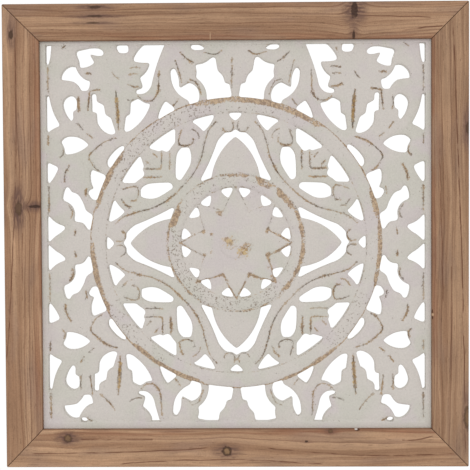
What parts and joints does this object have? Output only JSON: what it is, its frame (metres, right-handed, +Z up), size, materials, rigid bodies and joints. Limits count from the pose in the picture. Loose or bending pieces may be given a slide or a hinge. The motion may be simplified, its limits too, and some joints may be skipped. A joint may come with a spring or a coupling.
{
  "type": "carved wall panel",
  "caption": "Square pierced and carved mandala panel in whitewashed wood, a rosette in a ring with scrolling leaves, set in a plain mitred softwood frame, to hang on a wall.",
  "frame": {"origin": "on the flat back of the top rail, half way along it and half way across it, where the frame rests on the wall", "axes": "+Z up, -Y out of the wall towards the viewer, +X to the viewer's right; the back of the frame lies on Y = 0"},
  "size_m": [0.5, 0.024, 0.5],
  "materials": {
    "painted_board": "off-white paint, rubbed through at the edges",
    "frame_wood": "brown stain, matt"
  },
  "bodies": {
    "root": {"carved_panel": "painted_board", "frame_rail_top": "frame_wood", "frame_rail_bottom": "frame_wood", "frame_rail_left": "frame_wood", "frame_rail_right": "frame_wood"}
  },
  "joints": []
}
